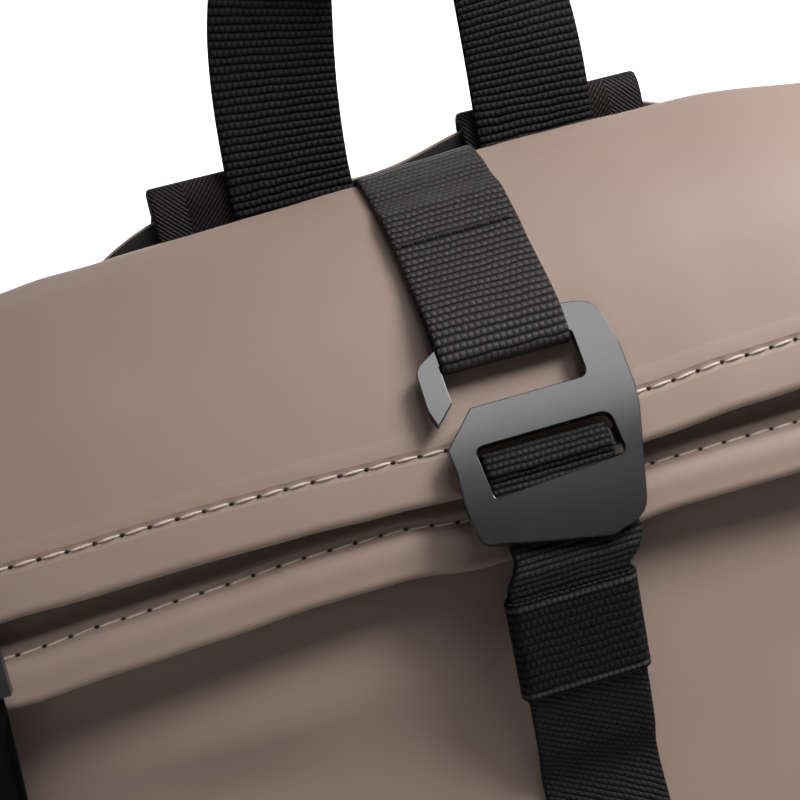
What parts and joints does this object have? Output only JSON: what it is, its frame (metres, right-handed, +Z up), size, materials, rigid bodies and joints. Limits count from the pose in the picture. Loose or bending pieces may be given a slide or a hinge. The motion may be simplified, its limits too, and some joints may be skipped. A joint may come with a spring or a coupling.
{
  "type": "flap backpack",
  "caption": "Soft fold-over backpack of taupe coated fabric with a black webbing closure strap, flat open metal hook, carry handle and two shoulder straps.",
  "frame": {"origin": "centre of the flat base, at the height it stands on", "axes": "+Z up, front of the bag towards -Y, the wearer's left towards -X"},
  "size_m": [0.294, 0.1703, 0.5067],
  "materials": {
    "coated_fabric": "matte coated fabric",
    "webbing": "ribbed black webbing",
    "herringbone": "black herringbone webbing",
    "hook_metal": "satin black",
    "fitting": "matte black"
  },
  "bodies": {
    "root": {"bag_body": "coated_fabric", "back_yoke": "coated_fabric", "g_hook": "hook_metal", "front_strap": "webbing", "lower_strap": "webbing", "strap_keeper": "webbing", "carry_handle": "webbing", "shoulder_strap_left": "herringbone", "shoulder_strap_right": "herringbone", "side_strap_left": "webbing", "side_strap_right": "webbing", "side_slider_left": "fitting", "side_slider_right": "fitting"}
  },
  "joints": []
}
